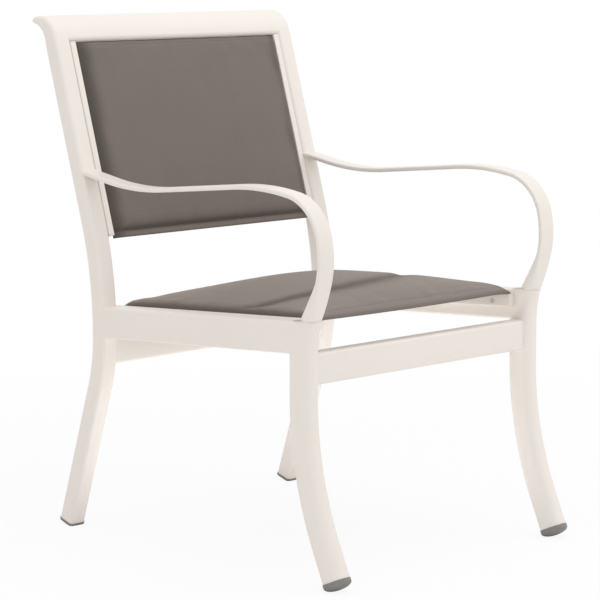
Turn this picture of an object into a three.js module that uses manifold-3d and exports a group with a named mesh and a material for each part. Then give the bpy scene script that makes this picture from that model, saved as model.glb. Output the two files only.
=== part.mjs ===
// Patio armchair: a padded sling seat and back on a powder-coated aluminium frame.
// Millimetres, +Z up. The front of the chair faces -Y; left and right are as seen from the front.

import * as THREE from 'three';
import { mergeVertices } from 'three/addons/utils/BufferGeometryUtils.js';
import Module from 'manifold-3d';

const wasm = await Module();
wasm.setup();

// Sizes shared by the whole frame.
const frameWidth = 582;
const memberWidth = 34;
const seatRun = 504;
const fitGap = 0.3;
const overrun = 3;

// Rear legs that run on up as the back posts and end in a rolled head.
const postDepth = 34;
const postRadius = 7;
const kneeHeight = 308;
const kneeBend = 300;
const rearSplay = THREE.MathUtils.degToRad(18);
const waistHeight = 468;
const waistBend = 670;
const recline = THREE.MathUtils.degToRad(16.8);
const backLength = 466.5;
const rollBend = 43;
const rollReach = 36.5;
const rollDroop = THREE.MathUtils.degToRad(7);
const rollTaperLength = 104;
const rollTipShare = 0.3;
const rollTaperPower = 2.8;
const rollEndRadius = 4;

// Crest rail between the posts, with the same rolled head.
const crestDrop = 10.6;
const crestEdgeRadius = 9;

// Front legs: a deep oval bar that sweeps forward at the foot and leans forward at the top.
const legDepth = 49;
const legRadius = 15;
const sweepHeight = 187;
const sweepBend = 590;
const frontSplay = THREE.MathUtils.degToRad(24.2);
const neckHeight = 410;
const neckBend = 236;
const neckLean = THREE.MathUtils.degToRad(14.5);

// Seat side rails and the two stretchers.
const railTopHeight = 439;
const railHeight = 54;
const railRadius = 5;
const seatPitch = THREE.MathUtils.degToRad(3.33);
const stretcherHeight = 53.5;
const stretcherDepth = 28;
const rearStretcherDrop = 79;
const rearStretcherSetback = 2;

// Arms: a flat bar that swells into the top of the front leg.
const armThickness = 8;
const armRadius = 3;
const armRearHeight = 653.2;
const armDipDistance = 97;
const armDipHeight = 626.4;
const armDipBend = 555;
const armCrownDistance = 415.5;
const armCrownHeight = 657.4;
const armCrownBend = 490;
const armBrowDistance = 546.5;
const armBrowHeight = 635;
const armBrowBend = 90.5;
const armChinHeight = 532;
const armChinBend = 148;
const flareLength = 68;
const flareThickness = 31;
const flareRadius = 12;
const flarePower = 1.35;

// Glides in the feet.
const rearGlideRim = 5;
const frontGlideRim = 6;
const frontGlideDome = 9.5;
const glideLip = 1;
const glideEdgeRadius = 1.2;
const glidePlugLength = 18;
const glideWall = 3;
const glideFlat = 1.2;

// Sling rails: a flat bar with a keyhole channel that holds the cloth on a spline.
const slingRailWidth = 12.3;
const slingRailRadius = 1.5;
const slingRailCap = 2;
const channelBore = 8;
const channelSlot = 3;
const channelWall = 1.8;
const channelInset = 5.5;
const splineDiameter = 6;
const splineEndGap = 1;
const tongueThickness = 2;
const tongueOverlap = 4;
const screwHeadDiameter = 9;
const screwHeadDepth = 2.5;
const screwDiameter = 5;
const screwReach = 9;
const screwInset = 9;

// Seat sling.
const seatRailDepth = 30;
const seatRailFront = 9;
const seatRailRearInset = 5;
const seatPadFront = 4;
const seatPadRearInset = 10;
const seatPadThickness = 14;
const seatPadCrown = 29.7;
const seatFrontEase = 155;
const seatRearEase = 170;
const seatPadRoll = 9.1;
const seatPadRollWidth = 22;
const seatCreaseLeft = 160;
const seatCreaseRight = 260;
const seatCreaseDepth = 3.5;
const seatCreaseWidth = 13;
const seatScrewInset = 40;
const seatScrewCount = 3;

// Back sling.
const backRailDepth = 24;
const backRailSetback = 2;
const backRailStart = 65;
const backPadThickness = 11;
const backPadCrown = 4;
const backPadEase = 40;
const backPadDrop = 5.5;
const backPadRoll = 1.5;
const backPadRollWidth = 8;
const backScrewInset = 45;
const backScrewCount = 2;

// Padded cloth: its clearance, its hems and how its edge is drawn in.
const padGap = 0.4;
const hemWidth = 15;
const hemGroove = 1.4;
const hemGrooveWidth = 3.5;
const padEdgeRadius = 5;
const padEdgeShares = [0, 0.1, 0.4, 1];

// Fineness of the round forms.
const arcStep = THREE.MathUtils.degToRad(6);
const cornerSteps = 3;
const arcPoints = 4;
const domeTipShare = 0.1;
const ringGap = 0.15;
const roundSteps = 14;
const flareSteps = 8;
const padColumns = 8;
const padRows = 10;

// Places worked out from the sizes above.
const memberX = (frameWidth - memberWidth) / 2;
const innerFace = frameWidth / 2 - memberWidth;
const railOuterX = innerFace - fitGap;
const postY = seatRun / 2;
const legY = -seatRun / 2;
const sides = { left: -1, right: 1 };

// Materials.
const frameCoat = new THREE.MeshStandardMaterial({ color: 0xeee8e0, roughness: 0.45, metalness: 0 });
const slingCloth = new THREE.MeshStandardMaterial({ color: 0x857c75, roughness: 0.9, metalness: 0 });
const glidePlastic = new THREE.MeshStandardMaterial({ color: 0x787370, roughness: 0.55, metalness: 0 });
const splinePlastic = new THREE.MeshStandardMaterial({ color: 0x2c2b2a, roughness: 0.6, metalness: 0 });
const screwSteel = new THREE.MeshStandardMaterial({ color: 0xb9babb, roughness: 0.35, metalness: 1 });

// A route in the YZ plane: straight runs between corner points, each inner corner rounded to its bend.
function makeRoute(corners) {
  const runs = [];
  let length = 0;
  let start = corners[0];
  for (let i = 1; i < corners.length; i += 1) {
    const corner = corners[i];
    const next = corners[i + 1];
    const heading = Math.atan2(corner.z - start.z, corner.y - start.y);
    const leaving = next ? Math.atan2(next.z - corner.z, next.y - corner.y) : heading;
    const turn = THREE.MathUtils.euclideanModulo(leaving - heading + Math.PI, 2 * Math.PI) - Math.PI;
    const setback = next ? corner.bend * Math.tan(Math.abs(turn) / 2) : 0;
    const straight = Math.hypot(corner.y - start.y, corner.z - start.z) - setback;
    runs.push({ start, heading, turn: 0, from: length, length: straight });
    length += straight;
    if (next) {
      const y = corner.y - setback * Math.cos(heading);
      const z = corner.z - setback * Math.sin(heading);
      const arc = corner.bend * Math.abs(turn);
      runs.push({ start: { y, z }, heading, turn, from: length, length: arc });
      length += arc;
      start = { y: corner.y + setback * Math.cos(leaving), z: corner.z + setback * Math.sin(leaving) };
    }
  }
  return { runs, length };
}

// The point of a route at a distance from its start, with the heading there.
function pointOnRoute(route, distance) {
  const run = route.runs.findLast((entry) => entry.from <= distance) ?? route.runs[0];
  const along = distance - run.from;
  if (run.turn === 0) {
    const y = run.start.y + along * Math.cos(run.heading);
    const z = run.start.z + along * Math.sin(run.heading);
    return { y, z, heading: run.heading };
  }
  const heading = run.heading + run.turn * along / run.length;
  const bend = run.length / run.turn;
  const y = run.start.y + bend * (Math.sin(heading) - Math.sin(run.heading));
  const z = run.start.z - bend * (Math.cos(heading) - Math.cos(run.heading));
  return { y, z, heading };
}

// Distances at which a loft needs a ring: the ends of each run, the steps of each bend and any extras.
function ringDistances(route, extras, start) {
  const distances = [start, ...extras, route.length];
  for (const run of route.runs) {
    const steps = Math.max(1, Math.ceil(Math.abs(run.turn) / arcStep));
    for (let i = 0; i <= steps; i += 1) {
      distances.push(run.from + run.length * i / steps);
    }
  }
  const wanted = distances.filter((distance) => distance >= start).sort((a, b) => a - b);
  return wanted.filter((distance, i) => i === 0 || distance - wanted[i - 1] > ringGap);
}

// A rounded rectangle about the origin, counter-clockwise, as [across, deep] pairs.
function roundedRing(halfWidth, halfDepth, radius) {
  const limit = Math.min(radius, halfWidth, halfDepth);
  const steps = radius > 0 ? cornerSteps : 0;
  const ring = [];
  const quarters = [[1, 1], [-1, 1], [-1, -1], [1, -1]];
  quarters.forEach(([signX, signY], quarter) => {
    for (let i = 0; i <= steps; i += 1) {
      const angle = (quarter + (steps ? i / steps : 0)) * Math.PI / 2;
      const x = signX * (halfWidth - limit) + limit * Math.cos(angle);
      const y = signY * (halfDepth - limit) + limit * Math.sin(angle);
      ring.push(steps ? [x, y] : [signX * halfWidth, signY * halfDepth]);
    }
  });
  return ring;
}

// A closed skin over a stack of rings that all have the same number of points.
function skinRings(rings) {
  const count = rings[0].length;
  const positions = rings.flat(2);
  const indices = [];
  for (let i = 0; i + 1 < rings.length; i += 1) {
    for (let j = 0; j < count; j += 1) {
      const a = i * count + j;
      const b = i * count + (j + 1) % count;
      indices.push(a, b, b + count, a, b + count, a + count);
    }
  }
  const last = (rings.length - 1) * count;
  for (let j = 1; j + 1 < count; j += 1) {
    indices.push(0, j + 1, j);
    indices.push(last, last + j, last + j + 1);
  }
  const geometry = new THREE.BufferGeometry();
  geometry.setAttribute('position', new THREE.Float32BufferAttribute(positions, 3));
  geometry.setIndex(indices);
  return geometry;
}

// A bar along a route; section(distance) gives half width, half depth, corner radius and sideways shift.
function loft(route, section, x = 0, extras = [], start = 0) {
  const rings = ringDistances(route, extras, start).map((distance) => {
    const { y, z, heading } = pointOnRoute(route, distance);
    const { halfWidth, halfDepth, radius, shift = 0 } = section(distance);
    const normalY = Math.sin(heading);
    const normalZ = -Math.cos(heading);
    return roundedRing(halfWidth, halfDepth, radius).map(([across, deep]) => [
      x + across,
      y + normalY * (deep + shift),
      z + normalZ * (deep + shift),
    ]);
  });
  return skinRings(rings);
}

// Solids for cutting and joining, and back to a geometry.
function toSolid(geometry) {
  const bare = new THREE.BufferGeometry();
  bare.setAttribute('position', geometry.getAttribute('position'));
  bare.setIndex(geometry.getIndex());
  const merged = mergeVertices(bare);
  const vertProperties = new Float32Array(merged.getAttribute('position').array);
  const triVerts = new Uint32Array(merged.getIndex().array);
  return new wasm.Manifold(new wasm.Mesh({ numProp: 3, vertProperties, triVerts }));
}

function toGeometry(solid) {
  const mesh = solid.getMesh();
  const geometry = new THREE.BufferGeometry();
  geometry.setAttribute('position', new THREE.Float32BufferAttribute(mesh.vertProperties, 3));
  geometry.setIndex(new THREE.Uint32BufferAttribute(mesh.triVerts, 1));
  return geometry;
}

function cutAway(geometry, ...cutters) {
  let solid = toSolid(geometry);
  for (const cutter of cutters) {
    solid = solid.subtract(toSolid(cutter));
  }
  return toGeometry(solid);
}

function joined(...geometries) {
  let solid = toSolid(geometries[0]);
  for (const geometry of geometries.slice(1)) {
    solid = solid.add(toSolid(geometry));
  }
  return toGeometry(solid);
}

// A round bar along X from one x to another, at a given y and z.
function barAlongX(radius, fromX, toX, y, z) {
  const bar = new THREE.CylinderGeometry(radius, radius, Math.abs(toX - fromX), roundSteps);
  bar.rotateZ(Math.PI / 2);
  bar.translate((fromX + toX) / 2, y, z);
  return bar;
}

const chair = new THREE.Group();
const seatFrame = new THREE.Group();
const backFrame = new THREE.Group();
chair.add(seatFrame, backFrame);

function addPiece(parent, name, geometry, material) {
  geometry.computeVertexNormals();
  const mesh = new THREE.Mesh(geometry, material);
  mesh.name = name;
  parent.add(mesh);
  return mesh;
}

// The seat and back slings share one layout: X across, -Y out of the cloth's face, +Z along the panel.
backFrame.position.set(0, postY, waistHeight);
backFrame.rotation.x = -recline;
seatFrame.position.set(0, legY, railTopHeight);
seatFrame.rotation.x = -Math.PI / 2 - seatPitch;

// The straight runs at the feet: where each bends from, how far it splays and its section.
const rearFoot = {
  kneeY: postY,
  kneeZ: kneeHeight,
  splay: rearSplay,
  depth: postDepth,
  radius: postRadius,
  rim: rearGlideRim,
  dome: 0,
};
const frontFoot = {
  kneeY: legY,
  kneeZ: sweepHeight,
  splay: -frontSplay,
  depth: legDepth,
  radius: legRadius,
  rim: frontGlideRim,
  dome: frontGlideDome,
};

// A point on a foot's straight run, measured up the leg from the underside of its glide's rim.
function footPoint(foot, distance) {
  const reach = (foot.depth / 2 + glideLip) * Math.sin(foot.splay);
  const soleZ = Math.hypot(reach, foot.dome * Math.cos(foot.splay)) - glideFlat;
  const soleY = foot.kneeY + (foot.kneeZ - soleZ) * Math.tan(foot.splay);
  return { y: soleY - distance * Math.sin(foot.splay), z: soleZ + distance * Math.cos(foot.splay) };
}

// Rear legs and back posts.
const rollCorner = {
  y: postY + backLength * Math.sin(recline),
  z: waistHeight + backLength * Math.cos(recline),
  bend: rollBend,
};
const rollTip = {
  y: rollCorner.y + rollReach * Math.cos(rollDroop),
  z: rollCorner.z - rollReach * Math.sin(rollDroop),
};

function postRoute(clearance) {
  return makeRoute([
    footPoint(rearFoot, rearFoot.rim + clearance),
    { y: postY, z: kneeHeight, bend: kneeBend },
    { y: postY, z: waistHeight, bend: waistBend },
    rollCorner,
    rollTip,
  ]);
}

// The depth of the rolled head: it thins toward the tip, which is rounded off.
function headHalfDepth(fromTip) {
  const share = THREE.MathUtils.clamp(1 - fromTip / rollTaperLength, 0, 1);
  const taper = 1 - (1 - rollTipShare) * share ** rollTaperPower;
  const past = THREE.MathUtils.clamp(1 - fromTip / rollEndRadius, 0, 1);
  const rounding = 1 - (1 - Math.sqrt(1 - past * past)) * (1 - rollTipShare);
  return postDepth / 2 * taper * rounding;
}

function headRings(length) {
  const tipShares = [0.04, 0.15, 0.4, 1];
  const rings = tipShares.map((share) => length - rollEndRadius * share);
  const taperSteps = 6;
  for (let i = 1; i <= taperSteps; i += 1) {
    rings.push(length - rollTaperLength * i / taperSteps);
  }
  return rings;
}

function postGeometry(x, grow = 0) {
  const route = postRoute(fitGap - grow);
  const section = (distance) => ({
    halfWidth: memberWidth / 2 + grow,
    halfDepth: headHalfDepth(route.length - distance) + grow,
    radius: postRadius + grow,
  });
  return loft(route, section, x, headRings(route.length));
}

// Front legs.
function legRoute(clearance) {
  const topZ = railTopHeight + legDepth;
  return makeRoute([
    footPoint(frontFoot, frontFoot.rim + clearance),
    { y: legY, z: sweepHeight, bend: sweepBend },
    { y: legY, z: neckHeight, bend: neckBend },
    { y: legY - (topZ - neckHeight) * Math.tan(neckLean), z: topZ },
  ]);
}

function legGeometry(x, grow = 0) {
  const route = legRoute(fitGap - grow);
  const section = () => ({
    halfWidth: memberWidth / 2 + grow,
    halfDepth: legDepth / 2 + grow,
    radius: legRadius + grow,
  });
  return loft(route, section, x);
}

// Everything above or below the plane of the seat rails' top face.
function railPlaneBlock(side, lift = 0) {
  const reach = frameWidth + seatRun;
  const block = new THREE.BoxGeometry(reach, reach, reach);
  block.translate(0, 0, side * reach / 2 + lift);
  block.rotateX(-seatPitch);
  block.translate(0, legY, railTopHeight);
  return block;
}

// The height of the seat rails' top face at a place along the chair.
function railTopAt(y) {
  return railTopHeight - (y - legY) * Math.tan(seatPitch);
}

// A glide: a rim under the foot, a plug in the foot's pocket and a flat where it meets the floor.
function plugGeometry(foot, x, from, to, clearance) {
  const route = makeRoute([footPoint(foot, from), footPoint(foot, to)]);
  const section = () => ({
    halfWidth: memberWidth / 2 - glideWall + clearance,
    halfDepth: foot.depth / 2 - glideWall + clearance,
    radius: Math.max(foot.radius - glideWall, glideEdgeRadius) + clearance,
  });
  return loft(route, section, x);
}

function glideGeometry(foot, x) {
  const rounded = Math.max(foot.dome, glideEdgeRadius);
  const bottom = foot.dome - rounded;
  const roundedShares = [0.02, 0.1, 0.25, 0.5, 0.75, 1];
  const rings = roundedShares.map((share) => bottom + rounded * share);
  const route = makeRoute([footPoint(foot, -foot.dome), footPoint(foot, foot.rim)]);
  const section = (distance) => {
    const past = THREE.MathUtils.clamp(1 - distance / rounded, 0, 1);
    const across = Math.sqrt(1 - past * past);
    const full = { width: memberWidth / 2 + glideLip, depth: foot.depth / 2 + glideLip };
    const drawnIn = foot.dome > 0 ? 0 : glideEdgeRadius * (1 - across);
    const share = foot.dome > 0 ? Math.max(across, domeTipShare) : 1;
    return {
      halfWidth: full.width * share - drawnIn,
      halfDepth: full.depth * share - drawnIn,
      radius: (foot.radius + glideLip) * share,
    };
  };
  const rim = loft(route, section, x, rings);
  const plug = plugGeometry(foot, x, foot.rim / 2, foot.rim + glidePlugLength, 0);
  const reach = frameWidth + seatRun;
  const floor = new THREE.BoxGeometry(reach, reach, reach);
  floor.translate(0, 0, -reach / 2);
  return cutAway(joined(rim, plug), floor);
}

function footPocket(foot, x) {
  return plugGeometry(foot, x, 0, foot.rim + glidePlugLength + fitGap, fitGap);
}

// The leg's front face where it leans forward, which the arm carries on upward.
function leaningFace(z) {
  return legY - (z - neckHeight) * Math.tan(neckLean) - legDepth / 2 / Math.cos(neckLean);
}

// The arm's outer line runs from the post over the crown and down the front to the leg.
function armRoute() {
  const base = railTopHeight - railHeight / 2;
  return makeRoute([
    { y: postY + (armRearHeight - waistHeight) * Math.tan(recline), z: armRearHeight },
    { y: postY - armDipDistance, z: armDipHeight, bend: armDipBend },
    { y: postY - armCrownDistance, z: armCrownHeight, bend: armCrownBend },
    { y: postY - armBrowDistance, z: armBrowHeight, bend: armBrowBend },
    { y: leaningFace(armChinHeight), z: armChinHeight, bend: armChinBend },
    { y: leaningFace(base), z: base },
  ]);
}

function armGeometry(x) {
  const route = armRoute();
  const flareEnd = route.length - railHeight / 2 / Math.cos(neckLean);
  const section = (distance) => {
    const share = THREE.MathUtils.clamp((distance - flareEnd + flareLength) / flareLength, 0, 1);
    const thickness = armThickness + (flareThickness - armThickness) * share ** flarePower;
    return {
      halfWidth: memberWidth / 2,
      halfDepth: thickness / 2,
      radius: armRadius + (flareRadius - armRadius) * share * share,
      shift: -thickness / 2,
    };
  };
  const flareRings = [];
  for (let i = 0; i <= flareSteps; i += 1) {
    flareRings.push(flareEnd - flareLength * (1 - i / flareSteps));
  }
  const bar = loft(route, section, x, flareRings);
  return cutAway(bar, postGeometry(x, fitGap), railPlaneBlock(-1, fitGap));
}

// A seat side rail, coped to the post behind it and the leg in front of it.
function sideRailGeometry(x) {
  const halfDrop = railHeight / 2 / Math.cos(seatPitch);
  const route = makeRoute([
    { y: legY, z: railTopAt(legY) - halfDrop },
    { y: postY, z: railTopAt(postY) - halfDrop },
  ]);
  const section = () => ({ halfWidth: memberWidth / 2, halfDepth: railHeight / 2, radius: railRadius });
  return cutAway(loft(route, section, x), postGeometry(x, fitGap), legGeometry(x, fitGap));
}

// A stretcher across the chair, coped to the members at its two ends.
function stretcherGeometry(y, top, cutters) {
  const ring = roundedRing(stretcherDepth / 2, stretcherHeight / 2, railRadius);
  const outline = new THREE.Shape(ring.map((pair) => new THREE.Vector2(...pair)));
  const bar = new THREE.ExtrudeGeometry(outline, { depth: 2 * memberX, bevelEnabled: false });
  bar.translate(0, 0, -memberX);
  bar.rotateX(Math.PI / 2);
  bar.rotateZ(Math.PI / 2);
  bar.translate(0, y, top - stretcherHeight / 2);
  return cutAway(bar, ...cutters);
}

// The crest rail shares the posts' rolled head; its lower front edge is rounded.
const rollTurn = Math.PI / 2 - recline + rollDroop;
const rollSetback = rollBend * Math.tan(rollTurn / 2);
const crestBottom = backLength - rollSetback - crestDrop;

function crestGeometry() {
  const route = postRoute(fitGap);
  const start = route.length - rollBend * rollTurn - rollReach + rollSetback - crestDrop;
  const edgeShares = [0.05, 0.2, 0.5, 1];
  const section = (distance) => {
    const past = THREE.MathUtils.clamp(1 - (distance - start) / crestEdgeRadius, 0, 1);
    const drawnIn = crestEdgeRadius * (1 - Math.sqrt(1 - past * past));
    return {
      halfWidth: innerFace - fitGap,
      halfDepth: headHalfDepth(route.length - distance) - drawnIn / 2,
      radius: 0,
      shift: drawnIn / 2,
    };
  };
  const rings = [...headRings(route.length), ...edgeShares.map((share) => start + crestEdgeRadius * share)];
  return loft(route, section, 0, rings, start);
}

// The keyhole outline of a sling rail, from the frame's face inward and from its own face down.
function slingRailOutline(panel, side) {
  const radius = slingRailRadius;
  const inner = slingRailWidth - radius;
  const deep = panel.railDepth - radius;
  const boreX = channelWall + channelBore / 2;
  const mouth = Math.asin(channelSlot / channelBore);
  const outline = new THREE.Shape();
  outline.moveTo(slingRailWidth, channelInset + channelSlot / 2);
  outline.lineTo(slingRailWidth, deep);
  outline.absarc(inner, deep, radius, 0, Math.PI / 2);
  outline.absarc(radius, deep, radius, Math.PI / 2, Math.PI);
  outline.absarc(radius, radius, radius, Math.PI, Math.PI * 1.5);
  outline.absarc(inner, radius, radius, Math.PI * 1.5, Math.PI * 2);
  outline.lineTo(slingRailWidth, channelInset - channelSlot / 2);
  outline.absarc(boreX, channelInset, channelBore / 2, -mouth, mouth, true);
  const place = (point) => new THREE.Vector2(side * (railOuterX - point.x), panel.face + point.y);
  return new THREE.Shape(outline.getPoints(arcPoints).map(place));
}

function slingRailGeometry(panel, side) {
  const depth = panel.railLength - slingRailCap * panel.caps.length - fitGap * panel.caps.length;
  const bar = new THREE.ExtrudeGeometry(slingRailOutline(panel, side), { depth, bevelEnabled: false });
  bar.translate(0, 0, panel.railStart + slingRailCap + fitGap);
  return cutAway(bar, ...screwHoles(panel, side));
}

// The flat cap on a sling rail's end.
function railCapGeometry(panel, side, end) {
  const ring = roundedRing(slingRailWidth / 2, panel.railDepth / 2, slingRailRadius);
  const outline = new THREE.Shape(ring.map((pair) => new THREE.Vector2(...pair)));
  const cap = new THREE.ExtrudeGeometry(outline, { depth: slingRailCap, bevelEnabled: false });
  const z = end === 'front' ? panel.railStart : panel.railStart + panel.railLength - slingRailCap;
  cap.translate(side * (railOuterX - slingRailWidth / 2), panel.face + panel.railDepth / 2, z);
  return cap;
}

function splineGeometry(panel, side) {
  const channel = panel.railLength - slingRailCap * panel.caps.length;
  const length = channel - 2 * splineEndGap;
  const rod = new THREE.CylinderGeometry(splineDiameter / 2, splineDiameter / 2, length, roundSteps);
  rod.rotateX(Math.PI / 2);
  const x = side * (railOuterX - channelWall - channelBore / 2);
  rod.translate(x, panel.face + channelInset, panel.railStart + slingRailCap + splineEndGap + length / 2);
  return rod;
}

// Screws run from the sling rail's inner face outward into the frame.
function screwPlaces(panel) {
  const first = panel.railStart + panel.screwInset;
  const span = panel.railLength - 2 * panel.screwInset;
  return Array.from({ length: panel.screwCount }, (_, i) => first + span * i / (panel.screwCount - 1));
}

function screwHoles(panel, side) {
  const headX = side * (railOuterX - slingRailWidth);
  const openX = headX - side * overrun;
  const y = panel.face + panel.railDepth - screwInset;
  return screwPlaces(panel).flatMap((z) => [
    barAlongX(screwDiameter / 2 + fitGap, openX, side * (innerFace + screwReach + fitGap), y, z),
    barAlongX(screwHeadDiameter / 2 + fitGap, openX, headX + side * screwHeadDepth, y, z),
  ]);
}

function screwGeometry(panel, side, z) {
  const length = slingRailWidth + screwReach;
  const profile = [
    [0, 0],
    [screwHeadDiameter / 2, 0],
    [screwHeadDiameter / 2, screwHeadDepth - fitGap],
    [screwDiameter / 2, screwHeadDepth - fitGap],
    [screwDiameter / 2, length],
    [0, length],
  ];
  const screw = new THREE.LatheGeometry(profile.map((pair) => new THREE.Vector2(...pair)), roundSteps);
  screw.rotateZ(-side * Math.PI / 2);
  const y = panel.face + panel.railDepth - screwInset;
  screw.translate(side * (railOuterX - slingRailWidth), y, z);
  return screw;
}

// Smooth step from 0 to 1 over a width.
function easeIn(distance, width) {
  return THREE.MathUtils.smoothstep(distance, 0, width);
}

// A seam pressed into the cloth along a line.
function pressed(distance, width) {
  return Math.exp(-((distance / width) ** 2));
}

// Distances from one edge of a pad to the other: close at the edges and hems, even between.
function padStations(length, count) {
  const edge = padEdgeShares.map((share) => share * padEdgeRadius);
  const hem = [hemWidth - hemGrooveWidth, hemWidth, hemWidth + hemGrooveWidth];
  const near = [...edge, ...hem];
  const last = near.at(-1);
  const middle = [];
  for (let i = 1; i <= count; i += 1) {
    middle.push(last + (length - 2 * last) * i / (count + 1));
  }
  return [...near, ...middle, ...near.map((distance) => length - distance).reverse()];
}

// A padded cloth panel with a crowned face, a flatter back, rolled edges and hems pressed along them.
function padGeometry(panel) {
  const halfWidth = railOuterX - slingRailWidth - padGap;
  const columns = padStations(2 * halfWidth, padColumns);
  const rows = padStations(panel.padLength, padRows);
  const facePoints = [];
  const backPoints = [];
  for (const row of rows) {
    for (const column of columns) {
      const x = column - halfWidth;
      const fromSide = halfWidth - Math.abs(x);
      const fromEnd = Math.min(row, panel.padLength - row);
      const fromEdge = Math.min(fromSide, fromEnd);
      const past = THREE.MathUtils.clamp(1 - fromEdge / padEdgeRadius, 0, 1);
      const fullness = Math.sqrt(1 - past * past);
      const bow = 1 - Math.abs(x / halfWidth) ** panel.bowPower;
      const rise = easeIn(row, panel.startEase) * easeIn(panel.padLength - row, panel.endEase);
      const crown = panel.crown * bow * rise;
      const level = -panel.face - channelInset + panel.roll * easeIn(fromSide, panel.rollWidth);
      const seamNearness = Math.min(Math.abs(fromSide - hemWidth), Math.abs(fromEnd - hemWidth));
      const seam = hemGroove * pressed(seamNearness, hemGrooveWidth);
      const creaseFade = easeIn(fromSide, panel.creaseWidth);
      const crease = panel.creaseDepth * pressed(panel.creaseOffset(x, row), panel.creaseWidth) * creaseFade;
      const face = level + crown + fullness * (panel.padThickness / 2 - seam - crease);
      const back = level + crown * panel.backCrownShare - fullness * (panel.padThickness / 2 - seam);
      const z = panel.padStart + row;
      facePoints.push([x, -face, z]);
      backPoints.push([x, -back, z]);
    }
  }
  const wide = columns.length;
  const offset = facePoints.length;
  const indices = [];
  for (let i = 0; i + 1 < rows.length; i += 1) {
    for (let j = 0; j + 1 < wide; j += 1) {
      const a = i * wide + j;
      const b = a + 1;
      const c = a + wide;
      const d = c + 1;
      indices.push(a, b, d, a, d, c);
      indices.push(offset + a, offset + d, offset + b, offset + a, offset + c, offset + d);
    }
  }
  const geometry = new THREE.BufferGeometry();
  const positions = [...facePoints, ...backPoints].flat();
  geometry.setAttribute('position', new THREE.Float32BufferAttribute(positions, 3));
  geometry.setIndex(indices);
  return geometry;
}

// The strip of cloth that runs from the pad's edge through a rail's slot to the spline.
function tongueGeometry(panel, side) {
  const halfWidth = railOuterX - slingRailWidth - padGap;
  const inner = halfWidth - tongueOverlap;
  const outer = railOuterX - channelWall - channelBore / 2 - splineDiameter / 2 - fitGap;
  const from = Math.max(panel.padStart + hemWidth, panel.railStart + hemWidth);
  const to = Math.min(panel.padStart + panel.padLength, panel.railStart + panel.railLength) - hemWidth;
  const strip = new THREE.BoxGeometry(outer - inner, tongueThickness, to - from);
  strip.translate(side * (inner + outer) / 2, panel.face + channelInset, (from + to) / 2);
  return strip;
}

const seatPanel = {
  name: 'seat',
  frame: seatFrame,
  face: 0,
  railDepth: seatRailDepth,
  railStart: seatRailFront,
  railLength: seatRun - seatRailFront - seatRailRearInset,
  caps: ['front', 'rear'],
  screwInset: seatScrewInset,
  screwCount: seatScrewCount,
  padStart: seatPadFront,
  padLength: seatRun - seatPadFront - seatPadRearInset,
  padThickness: seatPadThickness,
  crown: seatPadCrown,
  bowPower: 2.65,
  startEase: seatFrontEase,
  endEase: seatRearEase,
  backCrownShare: 0.35,
  roll: seatPadRoll,
  rollWidth: seatPadRollWidth,
  creaseDepth: seatCreaseDepth,
  creaseWidth: seatCreaseWidth,
  creaseOffset: (x, row) => {
    const share = 0.5 + x / (2 * innerFace);
    return row - THREE.MathUtils.lerp(seatCreaseLeft, seatCreaseRight, share);
  },
};

const backPanel = {
  name: 'back',
  frame: backFrame,
  face: backRailSetback - postDepth / 2,
  railDepth: backRailDepth,
  railStart: backRailStart,
  railLength: crestBottom - fitGap - backRailStart,
  caps: ['front'],
  screwInset: backScrewInset,
  screwCount: backScrewCount,
  padStart: backRailStart - backPadDrop,
  padLength: crestBottom - padGap - backRailStart + backPadDrop,
  padThickness: backPadThickness,
  crown: backPadCrown,
  bowPower: 2,
  startEase: backPadEase,
  endEase: backPadEase,
  backCrownShare: -0.5,
  roll: backPadRoll,
  rollWidth: backPadRollWidth,
  creaseDepth: 0,
  creaseWidth: seatCreaseWidth,
  creaseOffset: () => 0,
};

// Screw holes of a panel, turned into the chair's own axes to drill its frame members.
function drilledInFrame(panel, side) {
  panel.frame.updateMatrix();
  return screwHoles(panel, side).map((hole) => hole.applyMatrix4(panel.frame.matrix));
}

for (const [sideName, side] of Object.entries(sides)) {
  const x = side * memberX;
  const post = cutAway(postGeometry(x), footPocket(rearFoot, x), ...drilledInFrame(backPanel, side));
  addPiece(chair, `back_post_${sideName}`, post, frameCoat);
  const leg = cutAway(legGeometry(x), footPocket(frontFoot, x), railPlaneBlock(1));
  addPiece(chair, `front_leg_${sideName}`, leg, frameCoat);
  addPiece(chair, `arm_${sideName}`, armGeometry(x), frameCoat);
  const rail = cutAway(sideRailGeometry(x), ...drilledInFrame(seatPanel, side));
  addPiece(chair, `seat_side_rail_${sideName}`, rail, frameCoat);
  addPiece(chair, `rear_glide_${sideName}`, glideGeometry(rearFoot, x), glidePlastic);
  addPiece(chair, `front_glide_${sideName}`, glideGeometry(frontFoot, x), glidePlastic);
}

const legCutters = Object.values(sides).map((side) => legGeometry(side * memberX, fitGap));
const postCutters = Object.values(sides).map((side) => postGeometry(side * memberX, fitGap));
const frontStretcherTop = railTopAt(legY) - railHeight / Math.cos(seatPitch);
addPiece(chair, 'front_stretcher', stretcherGeometry(legY, frontStretcherTop, legCutters), frameCoat);
const rearStretcherTop = railTopHeight - rearStretcherDrop;
const rearStretcher = stretcherGeometry(postY + rearStretcherSetback, rearStretcherTop, postCutters);
addPiece(chair, 'rear_stretcher', rearStretcher, frameCoat);
addPiece(chair, 'crest_rail', crestGeometry(), frameCoat);

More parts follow.
